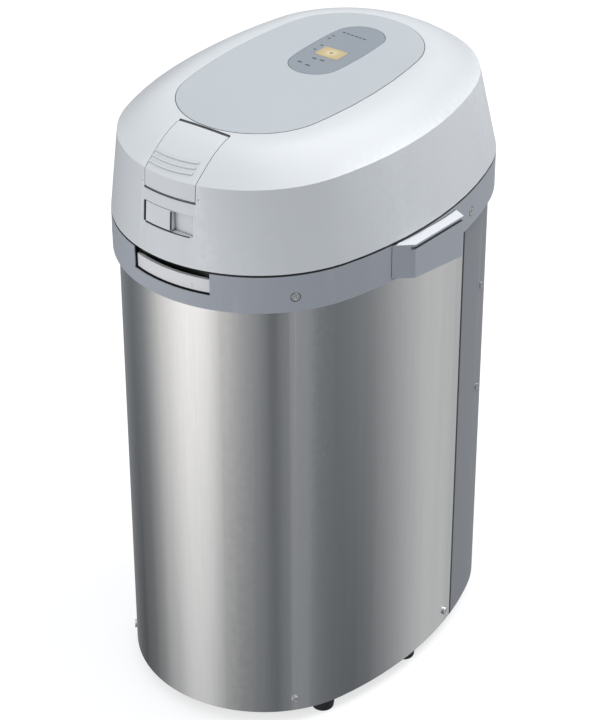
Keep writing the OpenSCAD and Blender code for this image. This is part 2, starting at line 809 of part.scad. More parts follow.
gland_z = 66;
module cord_gland() {
  color("black") translate([0, ring_b - jacket_in - 2.5 - 6, gland_z]) rotate([-90, 0, 0]) difference() {
    union() {
      cylinder(r = gland_r + 4, h = 8);
      translate([0, 0, 6]) cylinder(r = 12, h = 2.4);
      translate([0, 0, -3]) cylinder(r = gland_r + 7, h = 3);
    }
    translate([0, 0, -5]) cylinder(r = gland_r, h = 20);
  }
}

module lid_switch() {
  color("black") translate([-70, 102, deck_top]) block(20, 10, 5.5);
}

// ---------- lid ----------

// Point of an oval where its edge faces the direction t.
function oval_point(a, b, r, t) =
  let (side_r = (a * a + (b - r) * (b - r) - r * r) / (2 * (a - r)), c = cos(t), s = sin(t))
  atan2(abs(s), abs(c)) < atan2(b - r, side_r - a)
    ? [sign(c) * (a - side_r) + side_r * c, side_r * s]
    : [r * c, sign(s) * (b - r) + r * s];

function mix(u, from, to) = from + (to - from) * u;

lid_sides = 96;
crown_steps = 6;

// The wall's outer face over the middle of the front.
function front_wall(z) = (lid_lean - panel_fwd) * (z - lid_z) / lid_wall_h - ring_b;

// Rings of points drawn in by d: the foot of the wall, and rings on the crown, where u is 0 at the
// crease and 1 at the panel.
function foot_ring(d) =
  [for (i = [0 : lid_sides - 1])
    let (p = oval_point(ring_a - d, ring_b - d, ring_r - d, i * 360 / lid_sides))
    [p[0], p[1], d > 0 ? lid_z - e : lid_z]];
function crown_ring(d, u) =
  [for (i = [0 : lid_sides - 1])
    let (p = oval_point(mix(u, ring_a - lid_lean, panel_a + 3) - d,
                        mix(u, ring_b - lid_lean, panel_b + 3) - d,
                        mix(u, ring_r - lid_lean, panel_a - 2) - d, i * 360 / lid_sides))
    [p[0], p[1] - panel_fwd, mix(sin(90 * u), crease_z + lid_slope * p[1], crown_z) - d]];

// Height of the crown over the middle of the front.
function front_crown(y) =
  let (y0 = lid_lean - ring_b - panel_fwd, y1 = -panel_b - 3 - panel_fwd)
  mix(sin(90 * (y - y0) / (y1 - y0)), crease_z + lid_slope * y, crown_z);

// Outer form of the lid, drawn in all round by d.
module lid_form(d) {
  rings = [foot_ring(d), for (k = [0 : crown_steps]) crown_ring(d, k / crown_steps)];
  n = lid_sides;
  top = crown_steps + 1;
  polyhedron(
    points = [for (ring = rings, p = ring) p],
    faces = [[for (i = [0 : n - 1]) i], [for (i = [n - 1 : -1 : 0]) top * n + i],
      for (k = [0 : top - 1], i = [0 : n - 1]) let (j = (i + 1) % n)
        each [[k * n + i, (k + 1) * n + i, (k + 1) * n + j], [k * n + i, (k + 1) * n + j, k * n + j]]]);
}

button_y = -ring_b + button_len;
button_z = lid_z + button_low;
button_rear_gap = 1.6;
button_axis = [0, front_wall(button_z + 2.5) + 5, button_z + 2.5];
trunnion_r = 1.5;
module button_room(gap, rear_gap) {
  translate([-button_w / 2 - gap, -ring_b - 5, button_z - gap])
    cube([button_w + 2 * gap, button_len + 5 + rear_gap, 80]);
}
module on_button_axis() { translate(button_axis) rotate([0, 90, 0]) children(); }

module lid_shell() {
  color("whitesmoke") difference() {
    union() {
      difference() {
        lid_form(0);
        lid_form(lid_t);
      }
      for (x = [-24, 24], y = [window_y - 28, window_y + 28]) translate([x, y, board_top])
        cylinder(r = 4, h = crown_z - lid_t + 0.8 - board_top);
      intersection() {
        union() {
          // seat behind the lock's slot, with the lugs of the latch's pin
          translate([-slot_w / 2 - 4, -ring_b, slot_z - 3]) cube([slot_w + 8, seat_y + ring_b, slot_h + 6]);
          both_sides() translate([10, seat_y - 1, slot_z - 2]) cube([5, 2 * latch_r + 3, slot_h + 4]);
          for (p = inner_screw_spots) translate([p[0], p[1], lid_z + cover_in_t])
            cylinder(r = 5, h = crown_z - lid_z);
          // pocket round the hinge, with the lid's own knuckles
          translate([-notch_w - 3, hinge_y - notch_front - 3, lid_z])
            cube([2 * notch_w + 6, 60, notch_h + 3]);
        }
        lid_form(1.2);
      }
    }
    translate([0, 0, lid_z - e]) linear_extrude(cover_in_t + e) difference() {
      oval(lid_t - rebate);
      translate([0, hinge_y]) square([2 * notch_w + 7, 2 * (notch_front + 3.5)], center = true);
    }
    button_room(button_gap, button_rear_gap);
    on_button_axis() cylinder(r = trunnion_r + run_fit, h = button_w + 6, center = true);
    translate([-slot_w / 2, -ring_b - e, slot_z]) cube([slot_w, slot_floor + ring_b + e, slot_h]);
    translate([0, -panel_fwd, crown_z - panel_t + 0.4]) linear_extrude(20) panel_plan(0.5);
    translate([0, window_y - 8, crown_z - 20]) block(key_w + 4, key_d + 4, 30);
    translate([-notch_w, hinge_y - notch_front, lid_z - e]) cube([2 * notch_w, 80, notch_h + e]);
    latch_axis() cylinder(r = 1.6, h = 40, center = true);
    for (p = inner_screw_spots) translate([p[0], p[1], lid_z]) cylinder(r = 1.9, h = 14);
  }
  color("whitesmoke") both_sides() difference() {
    union() {
      hinge_axis() translate([0, 0, hinge_lug_x]) cylinder(r = knuckle_r - 0.5, h = hinge_lug_w);
      translate([hinge_lug_x, hinge_y - knuckle_r + 0.5, hinge_z])
        cube([hinge_lug_w, 2 * knuckle_r - 1, lid_z + notch_h + 0.5 - hinge_z]);
    }
    hinge_axis() cylinder(r = hinge_pin_r + run_fit, h = 200, center = true);
  }
}
inner_screw_x = lip_r + lip_t + 6;
inner_screw_spots = [[inner_screw_x, -60], [-inner_screw_x, -60], [105, 70], [-105, 70]];
// rear face of the lock's slot, and of the seat behind it
slot_floor = front_wall(slot_z + slot_h) + slot_d;
seat_y = latch_y - latch_r - fit;
module latch_axis() { translate([0, latch_y, latch_z]) rotate([0, 90, 0]) children(); }

module hinge_axis() { translate([0, hinge_y, hinge_z]) rotate([0, 90, 0]) children(); }

module oval_polygon(a, b, r) {
  polygon([for (i = [0 : lid_sides - 1]) oval_point(a, b, r, i * 360 / lid_sides)]);
}
module panel_plan(grow) { oval_polygon(panel_a + grow, panel_b + grow, panel_a - 5 + grow); }
module window_plan(grow) { oval_polygon(window_a + grow, window_b + grow, window_a - 1.5 + grow); }

module lid_panel() {
  color([0.79, 0.82, 0.85]) difference() {
    translate([0, -panel_fwd, crown_z - panel_t + 0.4]) linear_extrude(panel_t) panel_plan(0);
    translate([0, window_y, crown_z + 0.4 - window_t]) linear_extrude(5) window_plan(window_gap);
    translate([0, window_y - 8, crown_z - 5]) block(key_w + 2, key_d + 2, 10);
  }
}

module panel_window() {
  color([0.6, 0.63, 0.68]) difference() {
    translate([0, window_y, crown_z + 0.4 - window_t]) linear_extrude(window_t) window_plan(0);
    translate([0, window_y - 8, crown_z - 5]) block(key_w + 0.6, key_d + 0.6, 10);
  }
}

board_top = crown_z - 12;
module start_key() {
  color("lemonchiffon") translate([0, window_y - 8, 0]) union() {
    translate([0, 0, crown_z - 2.6]) block(key_w, key_d, 3.2);
    translate([0, 0, board_top + 4.8]) block(8, 8, crown_z - 2.6 - board_top - 4.8);
  }
}

module display_board() {
  color("darkgreen") translate([0, window_y, board_top - 1.6]) union() {
    block(60, 74, 1.6);
    translate([0, -8, 1.6]) block(10, 10, 4);
    for (x = [-18, 18], y = [10, 22]) translate([x, y, 1.6]) block(5, 4, 2);
  }
}

module lid_inner_cover() {
  color("lightgray") difference() {
    translate([0, 0, lid_z]) linear_extrude(cover_in_t) oval(lid_t - rebate + fit);
    for (i = [0 : 5]) translate([0, chamber_y, lid_z - e]) rotate([0, 0, 60 * i + 30]) translate([48, 0, 0])
      cylinder(r = outlet_r, h = 10);
    for (a = [0 : 30 : 330]) translate([0, blower_y, lid_z - e]) rotate([0, 0, a]) translate([14, 0, 0])
      cylinder(r = 3, h = 10);
    translate([-notch_w - 4, hinge_y - notch_front - 4, lid_z - e]) cube([2 * notch_w + 8, 60, 10]);
    translate([0, latch_y, lid_z - e]) block(24, 14, 10);
    for (p = inner_screw_spots) translate([p[0], p[1], lid_z - e]) cylinder(r = 2, h = 10);
    translate([60, chamber_y, lid_z - e]) cylinder(r = 3.1, h = 10);
  }
}

module lid_gasket() {
  color("firebrick") translate([0, chamber_y, deck_top + lip_h + fit])
    tube(lip_r + lip_t + 1, lip_t + 2, lid_z - deck_top - lip_h - fit);
}

module inner_cover_screws() {
  color("gray") for (p = inner_screw_spots) translate([p[0], p[1], lid_z]) mirror([0, 0, 1])
    screw(3.4, 1.5, 1.8, 8);
}

module fan_scroll() {
  color("lightsteelblue") difference() {
    translate([0, blower_y, lid_z + cover_in_t + 2]) union() {
      difference() {
        cylinder(r = blower_r + 12, h = blower_h + 12);
        translate([0, 0, scroll_t]) cylinder(r = blower_r + 12 - scroll_t, h = blower_h + 12 - 2 * scroll_t);
      }
      for (a = [45 : 90 : 315]) rotate([0, 0, a]) translate([blower_r + 6, 0, -2]) cylinder(r = 4, h = 2);
    }
    translate([0, blower_y, blower_z - 8]) cylinder(r = 20, h = 8);
    translate([0, blower_y, blower_z + 10]) cylinder(r = 8, h = 40);
    translate([0, blower_y - blower_r - 8, blower_z - 1]) block(heater_w - 4, 20, heater_h - 6);
  }
}

module circulation_fan() {
  color("darkslategray") translate([0, blower_y, blower_z + 2]) union() {
    cylinder(r = blower_r, h = 1.6);
    cylinder(r = 10, h = blower_h - 4);
    for (i = [0 : blower_blades - 1]) rotate([0, 0, i * 360 / blower_blades]) translate([26, 0, 1])
      rotate([0, 0, 25]) translate([0, -0.7, 0]) cube([blower_r - 29, 1.4, blower_h - 6]);
    cylinder(r = 2.5, h = blower_h + 10);
  }
}

fan_motor_z = blower_z + blower_h + 8;
module fan_motor() {
  color("gray") translate([0, blower_y, fan_motor_z]) difference() {
    union() {
      cylinder(r = 22, h = 24);
      translate([0, 0, 24]) cylinder(r = 7, h = 4);
    }
    translate([0, 0, -e]) cylinder(r = 2.5 + run_fit, h = 8);
  }
}

heater_y0 = chamber_y - 58;
heater_y1 = blower_y - blower_r - 12 - fit;
coil_end = heater_y1 - heater_y0 - 30;
module heater_duct() {
  color("silver") translate([0, heater_y0, lid_z + cover_in_t]) difference() {
    translate([-heater_w / 2, 0, 0]) cube([heater_w, blower_y - heater_y0, heater_h]);
    translate([-heater_w / 2 + 1, 1, -e]) cube([heater_w - 2, blower_y - heater_y0, heater_h]);
    translate([0, blower_y - heater_y0, -e]) cylinder(r = blower_y - heater_y1, h = heater_h + 2 * e);
    translate([-heater_w / 2 - e, 30, 4]) cube([heater_w + 2 * e, 8, 4]);
  }
}

module heater_coil() {
  color("orangered") translate([0, heater_y0, lid_z + cover_in_t + 9]) {
    for (y = [6, coil_end]) translate([0, y + 0.6, 4]) block(heater_w - 2 - 2 * fit, 1.2, 10);
    for (i = [0 : 5]) translate([-24 + 9 * i, 7.2, 5]) cube([3, coil_end - 7.2, 7]);
  }
}

module temperature_sensor() {
  color("gold") translate([60, chamber_y, lid_z - 5]) union() {
    cylinder(r = 3, h = 12);
    translate([0, 0, 8]) cylinder(r = 5, h = 3);
  }
}

// ---------- hinge ----------

module hinge_bracket() {
  color("gray") difference() {
    union() {
      translate([0, hinge_y - 18, deck_top]) block(2 * (knuckle_x + knuckle_w), 20, 2.5);
      both_sides() hull() {
        hinge_axis() translate([0, 0, knuckle_x]) cylinder(r = knuckle_r, h = knuckle_w, $fn = 48);
        translate([knuckle_x, hinge_y - 16, deck_top]) cube([knuckle_w, 16, 2.5]);
      }
    }
    hinge_axis() cylinder(r = hinge_pin_r, h = 300, center = true);
  }
}

module hinge_pin() {
  color("lightgray") hinge_axis()
    cylinder(r = hinge_pin_r - 0.02, h = 2 * (knuckle_x + knuckle_w + 8), center = true);
}

module hinge_springs() {
  color("darkgray") both_sides() hinge_axis() translate([0, 0, knuckle_x + knuckle_w + fit]) difference() {
    cylinder(r = hinge_pin_r + 2.2, h = 7);
    translate([0, 0, -e]) cylinder(r = hinge_pin_r + 0.02, h = 20);
  }
}

// ---------- release and lock ----------

module release_button() {
  color("white") union() {
    difference() {
      intersection() {
        lid_form(0);
        button_room(0, 0);
      }
      lid_form(lid_t);
    }
    on_button_axis() cylinder(r = trunnion_r, h = button_w + 5, center = true);
    // blade that pushes the latch's arm down
    translate([0, latch_y + stem_back, latch_z + latch_r + stem_gap])
      block(10, 2.4, front_crown(latch_y + stem_back) - 1.2 - latch_z - latch_r - stem_gap);
  }
}
hook_t = 3;
hook_z = deck_z - 6;
module latch_hook() {
  color("lightgray") difference() {
    union() {
      translate([-8, latch_y - hook_t / 2, hook_z]) cube([16, hook_t, latch_z - hook_z]);
      translate([-8, latch_y, hook_z]) cube([16, hook_t / 2 + 1, 4.5]);
      translate([-6, latch_y, latch_z]) cube([12, stem_back + 4, latch_r]);
      latch_axis() cylinder(r = latch_r, h = 18, center = true);
    }
    latch_axis() cylinder(r = 1.5 + run_fit, h = 60, center = true);
  }
}

module latch_pin() {
  color("gray") latch_axis() cylinder(r = 1.5, h = 32, center = true);
}

module latch_spring() {
  color("darkgray") translate([0, latch_y + 14, lid_z + cover_in_t])
    tube(3.5, 1, latch_z - 1 - lid_z - cover_in_t);
}

module lock_slider() {
  color("gainsboro") intersection() {
    translate([-slot_w / 2 + 0.6, -ring_b, slot_z + 0.5])
      cube([knob_w, slot_floor + ring_b - fit / 2, slot_h - 1]);
    lid_form(0);
  }
}

base_tray();
feet();
steel_jacket();
jacket_screws();
rear_cover();
rear_cover_screws();
top_ring();
ring_screws();
side_grips();
front_grip();
drying_chamber();
container_pot();
pot_bush();
container_handle();
handle_grip();
fixed_blades();
stirrer_rotor();
output_shaft();
shaft_seal();
output_gear();
idler_gear();
idler_shaft();
motor_pinion();
gearbox_housing();
gearbox_cover();
gearbox_screws();
drive_motor();
exhaust_duct();
catalyst_housing();
catalyst_core();
exhaust_fan_frame();
exhaust_fan_rotor();
power_board();
cord_gland();
lid_switch();
hinge_bracket();
hinge_pin();
hinge_springs();
lid_shell();
lid_panel();
panel_window();
start_key();
display_board();
lid_inner_cover();
lid_gasket();
inner_cover_screws();
fan_scroll();
circulation_fan();
fan_motor();
heater_duct();
heater_coil();
temperature_sensor();
release_button();
latch_hook();
latch_pin();
latch_spring();
lock_slider();
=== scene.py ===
"""Looks of an electric food waste dryer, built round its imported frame."""
import json
import math

import bmesh
import bpy
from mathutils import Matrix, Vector
from mathutils.bvhtree import BVHTree

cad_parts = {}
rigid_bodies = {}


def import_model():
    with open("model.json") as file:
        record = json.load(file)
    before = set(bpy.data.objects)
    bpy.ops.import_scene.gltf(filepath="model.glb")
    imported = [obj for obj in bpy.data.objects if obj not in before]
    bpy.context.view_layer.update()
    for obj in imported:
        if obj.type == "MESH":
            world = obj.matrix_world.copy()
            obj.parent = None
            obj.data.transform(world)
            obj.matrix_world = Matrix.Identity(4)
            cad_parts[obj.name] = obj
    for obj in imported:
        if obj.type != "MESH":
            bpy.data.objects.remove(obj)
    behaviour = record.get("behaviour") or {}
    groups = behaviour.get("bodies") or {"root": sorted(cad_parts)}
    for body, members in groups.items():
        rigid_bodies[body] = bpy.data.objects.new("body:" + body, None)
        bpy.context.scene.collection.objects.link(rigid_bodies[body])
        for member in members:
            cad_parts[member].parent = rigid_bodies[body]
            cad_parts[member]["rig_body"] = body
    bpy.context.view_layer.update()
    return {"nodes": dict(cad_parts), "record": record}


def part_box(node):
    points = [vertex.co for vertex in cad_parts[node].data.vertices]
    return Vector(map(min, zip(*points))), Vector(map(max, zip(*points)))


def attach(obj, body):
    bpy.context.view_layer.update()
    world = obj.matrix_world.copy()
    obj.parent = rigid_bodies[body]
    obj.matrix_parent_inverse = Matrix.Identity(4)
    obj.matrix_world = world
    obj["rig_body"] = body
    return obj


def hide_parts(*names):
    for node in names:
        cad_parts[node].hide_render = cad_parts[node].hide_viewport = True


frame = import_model()
MM = 0.001

# ---------- node trees ----------


def add(tree, kind, values=None, **settings):
    """A node with its settings, its input values, and links where a value is a socket."""
    node = tree.nodes.new(kind)
    for name, value in settings.items():
        setattr(node, name, value)
    for name, value in (values or {}).items():
        if isinstance(value, bpy.types.NodeSocket):
            tree.links.new(value, node.inputs[name])
        else:
            node.inputs[name].default_value = value
    return node


def math_node(tree, operation, *values, clamp=False):
    """The result of a sum or a test on sockets and numbers."""
    node = add(tree, "ShaderNodeMath", dict(enumerate(values)), operation=operation, use_clamp=clamp)
    return node.outputs[0]


def product(tree, first, *others):
    """All the values multiplied, which for masks gives where all of them hold."""
    for value in others:
        first = math_node(tree, "MULTIPLY", first, value)
    return first


def ramp(tree, factor, stops):
    """A colour ramp of (place, grey or colour) stops."""
    node = add(tree, "ShaderNodeValToRGB", {"Fac": factor})
    elements = node.color_ramp.elements
    while len(elements) < len(stops):
        elements.new(0.5)
    for element, (place, value) in zip(elements, stops):
        element.position = place
        element.color = (*value, 1) if isinstance(value, tuple) else (value, value, value, 1)
    return node.outputs["Color"]


def mixed(tree, factor, first, second, blend="MIX"):
    """Two colours mixed by a factor; each may be a socket or a colour."""
    node = add(tree, "ShaderNodeMix", data_type="RGBA", blend_type=blend)
    for place, value in ((0, factor), (6, first), (7, second)):
        if isinstance(value, bpy.types.NodeSocket):
            tree.links.new(value, node.inputs[place])
        else:
            node.inputs[place].default_value = (*value, 1) if isinstance(value, tuple) else value
    return node.outputs[2]


def shader_group(name, inputs, outputs):
    """An empty shader group, with its input and output sockets by name."""
    group = bpy.data.node_groups.new(name, "ShaderNodeTree")
    for label, kind in inputs.items():
        group.interface.new_socket(label, in_out="INPUT", socket_type="NodeSocket" + kind)
    for label in outputs:
        group.interface.new_socket(label, in_out="OUTPUT", socket_type="NodeSocketFloat")
    return group, group.nodes.new("NodeGroupInput").outputs, group.nodes.new("NodeGroupOutput").inputs


def brushed_group():
    """Fine upright streaks of a brushed sheet, and slow changes of its sheen."""
    group, given, out = shader_group(
        "brushed sheet", {"Position": "Vector", "Fineness": "Float", "Stretch": "Float"},
        ["Streaks", "Sheen"])
    split = add(group, "ShaderNodeSeparateXYZ", {0: given["Position"]}).outputs
    long = math_node(group, "DIVIDE", split[2], given["Stretch"])
    drawn = add(group, "ShaderNodeCombineXYZ", {0: split[0], 1: split[1], 2: long}).outputs[0]
    fine = add(group, "ShaderNodeTexNoise", {
        "Vector": drawn, "Scale": given["Fineness"], "Detail": 4.0, "Roughness": 0.65})
    slow = math_node(group, "MULTIPLY", given["Fineness"], 0.09)
    broad = add(group, "ShaderNodeTexNoise", {"Vector": drawn, "Scale": slow, "Detail": 2.0})
    group.links.new(fine.outputs[0], out["Streaks"])
    group.links.new(broad.outputs[0], out["Sheen"])
    return group


def moulded_group():
    """Fine grain of a moulded face, and its slow flow marks."""
    group, given, out = shader_group(
        "moulded face", {"Position": "Vector", "Grain": "Float"}, ["Height", "Flow"])
    grain = add(group, "ShaderNodeTexNoise", {
        "Vector": given["Position"], "Scale": given["Grain"], "Detail": 3.0})
    flow = add(group, "ShaderNodeTexNoise", {"Vector": given["Position"], "Scale": 9.0, "Detail": 2.0})
    group.links.new(grain.outputs[0], out["Height"])
    group.links.new(flow.outputs[0], out["Flow"])
    return group


def worn_group():
    """Rubbed edges as a mask, from how sharply the surface turns."""
    group, given, out = shader_group(
        "rubbed edges", {"Pointiness": "Float", "Position": "Vector", "Reach": "Float"}, ["Mask"])
    turned = math_node(group, "SUBTRACT", given["Pointiness"], FLAT_POINTINESS)
    wide = math_node(group, "MULTIPLY", turned, given["Reach"], clamp=True)
    broken = add(group, "ShaderNodeTexNoise", {"Vector": given["Position"], "Scale": 160.0, "Detail": 3.0})
    group.links.new(math_node(group, "MULTIPLY", wide, broken.outputs[0]), out["Mask"])
    return group


def dust_group():
    """Thin dust as a mask, on what faces up."""
    group, given, out = shader_group(
        "settled dust", {"Normal": "Vector", "Position": "Vector", "Amount": "Float"}, ["Mask"])
    up = add(group, "ShaderNodeSeparateXYZ", {0: given["Normal"]}).outputs[2]
    patchy = add(group, "ShaderNodeTexNoise", {"Vector": given["Position"], "Scale": 38.0, "Detail": 5.0})
    lying = math_node(group, "MULTIPLY", math_node(group, "MAXIMUM", up, 0.0), patchy.outputs[0])
    group.links.new(math_node(group, "MULTIPLY", lying, given["Amount"]), out["Mask"])
    return group


def seam_shade_group():
    """Painted shade in the narrow gaps between pieces, as a mask from how closed in the surface is."""
    group, given, out = shader_group("painted seam shade", {"Reach": "Float"}, ["Mask"])
    closed = add(group, "ShaderNodeAmbientOcclusion", {"Distance": given["Reach"]}, samples=4)
    group.links.new(ramp(group, closed.outputs["AO"], [(0.3, 1.0), (0.8, 0.0)]), out["Mask"])
    return group


def recess_shade_group():
    """Painted shade in the front recess for the fingers, as a mask: behind the ring's face, before its rear
    wall, over its floor.
    """
    group, given, out = shader_group(
        "finger recess", {"Position": "Vector", "Half Width": "Float", "Floor": "Float", "Depth": "Float"},
        ["Mask"])
    split = add(group, "ShaderNodeSeparateXYZ", {0: given["Position"]}).outputs
    beside = math_node(group, "LESS_THAN", math_node(group, "ABSOLUTE", split[0]), given["Half Width"])
    above = math_node(group, "GREATER_THAN", split[2], given["Floor"])
    ahead = math_node(group, "SUBTRACT", split[1], ARC_Y)
    squares = [math_node(group, "MULTIPLY", value, value) for value in (split[0], ahead)]
    across = math_node(group, "SQRT", math_node(group, "ADD", *squares))
    behind = math_node(group, "LESS_THAN", across, math_node(group, "SUBTRACT", END_R, given["Depth"]))
    front = math_node(group, "LESS_THAN", split[1], RECESS_REAR)
    group.links.new(product(group, beside, above, behind, front), out["Mask"])
    return group


def past_group():
    """A mask of what lies past a limit along one direction."""
    group, given, out = shader_group("past a limit", {"Value": "Float", "Limit": "Float"}, ["Mask"])
    group.links.new(math_node(group, "GREATER_THAN", given["Value"], given["Limit"]), out["Mask"])
    return group


def grip_light_group():
    """Where the grips at the sides get a painted highlight on their upper faces and painted shade in the
    grooves below them, as masks. Both slope down to the front, and the upper faces start at the ring's bowed
    side."""
    group, given, out = shader_group(
        "side grips", {"Position": "Vector", "Normal": "Vector"}, ["Ledge", "Groove Shade"])
    split = add(group, "ShaderNodeSeparateXYZ", {0: given["Position"]}).outputs
    across = math_node(group, "ABSOLUTE", split[0])
    squared = math_node(group, "MULTIPLY", split[1], split[1])
    bowed = math_node(group, "MULTIPLY_ADD", squared, SIDE_BOW, across)
    fall = math_node(group, "MULTIPLY", math_node(group, "SUBTRACT", split[1], GRIP_FRONT), GRIP_SLOPE)
    level = math_node(group, "ADD", split[2], fall)
    up = add(group, "ShaderNodeSeparateXYZ", {0: given["Normal"]}).outputs[2]
    past = math_node(group, "GREATER_THAN", bowed, RING_A + LEDGE_START)
    high = math_node(group, "GREATER_THAN", level, RING_TOP - LEDGE_DROP)
    facing = math_node(group, "GREATER_THAN", up, UPWARD)
    group.links.new(product(group, past, high, facing), out["Ledge"])
    outer = math_node(group, "GREATER_THAN", across, RING_A + GROOVE_START)
    above = math_node(group, "GREATER_THAN", level, RING_TOP - GROOVE_DROP[1])
    below = math_node(group, "LESS_THAN", level, RING_TOP - GROOVE_DROP[0])
    group.links.new(product(group, outer, above, below), out["Groove Shade"])
    return group


# The ring: half width, half depth, top, radius of its round ends and their centre in front.
RING_A, RING_B, RING_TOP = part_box("top_ring")[1]
END_R = RING_A - 10 * MM
ARC_Y = END_R - RING_B
RECESS_REAR = 11.4 * MM - RING_B
# The grips at the sides: bow of the ring's side (per metre), and the grips' slope from their front end on.
# The painted highlight on their upper faces and the painted shade in their grooves start so far outside
# the ring and lie so far below its top.
SIDE_BOW, GRIP_FRONT, GRIP_SLOPE = 1.51, -44 * MM, 0.0652
LEDGE_START, LEDGE_DROP = 0.2 * MM, 3.5 * MM
GROOVE_START, GROOVE_DROP = 4.6 * MM, (4.5 * MM, 7.1 * MM)
# A normal's height from which a face counts as an upper one, and the pointiness of a flat face.
UPWARD, FLAT_POINTINESS = 0.3, 0.52

BRUSHED, MOULDED, WORN, DUST = brushed_group(), moulded_group(), worn_group(), dust_group()
SEAM_SHADE_MASK, RECESS_SHADE_MASK, PAST, GRIP_LIGHT_MASK = seam_shade_group(), recess_shade_group(), past_group(), grip_light_group()
# Colours that materials share, and the depths of their bumps in metres.
PALE_DUST, DUST_AMOUNT = (0.62, 0.61, 0.59), 0.05
# The grey and the two near blacks below are painted shade: in the grips' grooves, at the joints between
# pieces and in the front recess.
GROOVE_SHADE_GREY, RIM_SHADE_BLACK, RECESS_SHADE_BLACK = (0.14, 0.147, 0.157), (0.015, 0.015, 0.017), (0.012, 0.012, 0.013)
METAL_BUMP, PLASTIC_BUMP = 0.00004, 0.00003


def grouped(tree, group, values):
    """The outputs of a shader group that is used with these values."""
    return add(tree, "ShaderNodeGroup", values, node_tree=group).outputs


def begin(name):
    """A new material: itself, its tree and shader, Object coordinates and geometry outputs."""
    material = bpy.data.materials.new(name)
    material.use_nodes = True
    tree = material.node_tree
    shader = tree.nodes["Principled BSDF"]
    position = add(tree, "ShaderNodeTexCoord").outputs["Object"]
    geometry = add(tree, "ShaderNodeNewGeometry").outputs
    return material, tree, shader, position, geometry


def spread(tree, value, low, high):
    """A noise value, mostly from 0.3 to 0.7, laid over the range low to high."""
    return add(tree, "ShaderNodeMapRange", {
        "Value": value, "From Min": 0.3, "From Max": 0.7, "To Min": low, "To Max": high}).outputs[0]


def bump(tree, shader, height, strength, depth):
    """Lays a height over the shader's surface."""
    node = add(tree, "ShaderNodeBump", {"Strength": strength, "Distance": depth, "Height": height})
    tree.links.new(node.outputs[0], shader.inputs["Normal"])


def rubbed(tree, position, geometry, reach):
    """The mask of rubbed edges; reach is how far it spreads from them."""
    return grouped(tree, WORN, {
        "Pointiness": geometry["Pointiness"], "Position": position, "Reach": reach})["Mask"]


def metal(name, colour, rough, fineness=900.0, stretch=60.0, relief=0.12, tint=0.08):
    """Brushed or drawn metal. rough is the range of its roughness, and tint how dark its streaks are."""
    material, tree, shader, position, geometry = begin(name)
    brush = grouped(tree, BRUSHED, {"Position": position, "Fineness": fineness, "Stretch": stretch})
    worn = rubbed(tree, position, geometry, 9.0)
    dark = tuple(c * (1 - tint) for c in colour)
    base = mixed(tree, spread(tree, brush["Streaks"], 0.0, 1.0), dark, colour)
    bright = tuple(min(1.0, c * 1.2) for c in colour)
    tree.links.new(mixed(tree, worn, base, bright), shader.inputs["Base Color"])
    tree.links.new(spread(tree, brush["Sheen"], *rough), shader.inputs["Roughness"])
    shader.inputs["Metallic"].default_value = 1.0
    bump(tree, shader, brush["Streaks"], relief, METAL_BUMP)
    return material


def plastic(name, colour, rough, grain=2400.0, relief=0.06, coat=0.0, wear=0.0, flow=0.04,
            seams=0.0, recess=None, rim=None, ledge=None):
    """Moulded plastic, rubber or coated board. rough is the range of its roughness, and flow how dark
    its flow marks are. In mm, seams is the width of the gaps that get painted shade, and recess the
    half width, floor and depth of a pocket painted near black as shade. rim gives a near-black rim of
    painted shade where the piece meets the next one, as (axis, sign, limit in metres), and ledge the
    colour of the painted highlight on the grips' upper faces, whose grooves then get painted shade."""
    material, tree, shader, position, geometry = begin(name)
    face = grouped(tree, MOULDED, {"Position": position, "Grain": grain})
    dark = tuple(c * (1 - flow) for c in colour)
    base = mixed(tree, spread(tree, face["Flow"], 0.0, 1.0), dark, colour)
    if wear:
        worn = rubbed(tree, position, geometry, wear)
        base = mixed(tree, worn, base, tuple(min(1.0, c * 1.25 + 0.02) for c in colour))
    settled = grouped(tree, DUST, {
        "Normal": geometry["Normal"], "Position": position, "Amount": DUST_AMOUNT})["Mask"]
    base = mixed(tree, settled, base, PALE_DUST)
    # Painted highlight on the grips' upper faces, and painted shade in the grooves below them.
    if ledge:
        grip = grouped(tree, GRIP_LIGHT_MASK, {"Position": position, "Normal": geometry["Normal"]})
        base = mixed(tree, grip["Ledge"], base, ledge)
        base = mixed(tree, grip["Groove Shade"], base, GROOVE_SHADE_GREY)
    # Painted shade: a near-black rim where the piece meets the next one, the lid on the ring and the steel
    # at the rear cover's front edge.
    if rim:
        axis, sign, limit = rim
        split = add(tree, "ShaderNodeSeparateXYZ", {0: position}).outputs
        along = math_node(tree, "MULTIPLY", split[axis], sign)
        base = mixed(tree, grouped(tree, PAST, {"Value": along, "Limit": limit})["Mask"], base, RIM_SHADE_BLACK)
    # Painted shade: the narrow gaps between pieces are darkened where the surface is closed in.
    if seams:
        gap = grouped(tree, SEAM_SHADE_MASK, {"Reach": seams * MM})["Mask"]
        base = mixed(tree, gap, base, tuple(c * 0.16 for c in colour))
    # Painted shade: the front recess is coloured near black.
    if recess:
        values = dict(zip(("Half Width", "Floor", "Depth"), (size * MM for size in recess)))
        pocket = grouped(tree, RECESS_SHADE_MASK, {"Position": position, **values})["Mask"]
        base = mixed(tree, pocket, base, RECESS_SHADE_BLACK)
    tree.links.new(base, shader.inputs["Base Color"])
    tree.links.new(spread(tree, face["Flow"], *rough), shader.inputs["Roughness"])
    shader.inputs["Coat Weight"].default_value = coat
    shader.inputs["Coat Roughness"].default_value = 0.25
    bump(tree, shader, face["Height"], relief, PLASTIC_BUMP)
    return material


